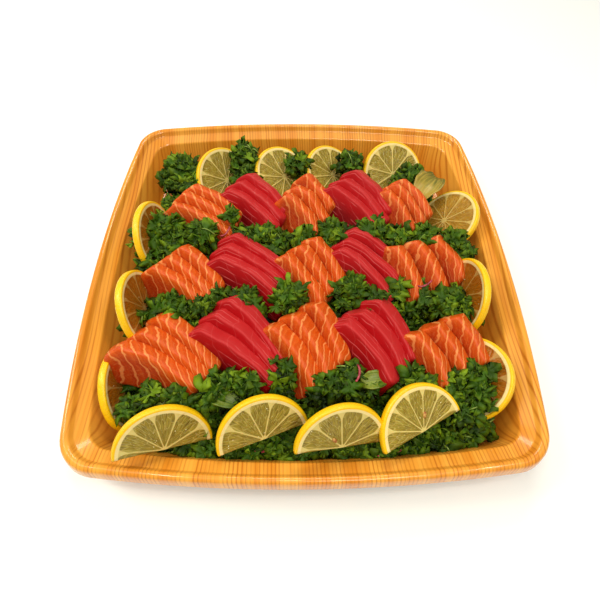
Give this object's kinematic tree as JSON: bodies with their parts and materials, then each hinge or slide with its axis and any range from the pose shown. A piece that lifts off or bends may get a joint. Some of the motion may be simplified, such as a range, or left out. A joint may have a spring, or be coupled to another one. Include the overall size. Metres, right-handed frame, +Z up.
{
  "type": "sashimi plate",
  "caption": "Square wood-look party tray with fanned portions of salmon and tuna sashimi in rows on parsley, ringed with lemon slices.",
  "frame": {"origin": "middle of the tray's flat underside, on the surface it stands on", "axes": "+Z up, -Y towards the tray's front, +X to its right"},
  "size_m": [0.3238, 0.3238, 0.0634],
  "materials": {
    "tray": "glossy, printed wood grain",
    "salmon": "moist, marbled with pale fat lines",
    "tuna": "moist, fine pale sinew lines",
    "citrus": "yellow rind, cream pith, translucent flesh",
    "parsley": "curly leaves, waxy",
    "leaf": "pale crisp leaf"
  },
  "bodies": {
    "root": {"citrus_back_1": "citrus", "citrus_back_2": "citrus", "citrus_back_3": "citrus", "citrus_back_4": "citrus", "citrus_front_1": "citrus", "citrus_front_2": "citrus", "citrus_front_3": "citrus", "citrus_front_4": "citrus", "citrus_left_1": "citrus", "citrus_left_2": "citrus", "citrus_left_3": "citrus", "citrus_right_1": "citrus", "citrus_right_2": "citrus", "citrus_right_3": "citrus", "lettuce_leaf": "leaf", "pale_leaf_1": "leaf", "pale_leaf_2": "leaf", "pale_leaf_3": "leaf", "parsley_bed": "parsley", "salmon_back_1": "salmon", "salmon_back_2": "salmon", "salmon_back_3": "salmon", "salmon_front_1": "salmon", "salmon_front_2": "salmon", "salmon_front_3": "salmon", "salmon_middle_1": "salmon", "salmon_middle_2": "salmon", "salmon_middle_3": "salmon", "tray": "tray", "tuna_back_1": "tuna", "tuna_back_2": "tuna", "tuna_front_1": "tuna", "tuna_front_2": "tuna", "tuna_middle_1": "tuna", "tuna_middle_2": "tuna"}
  },
  "joints": []
}
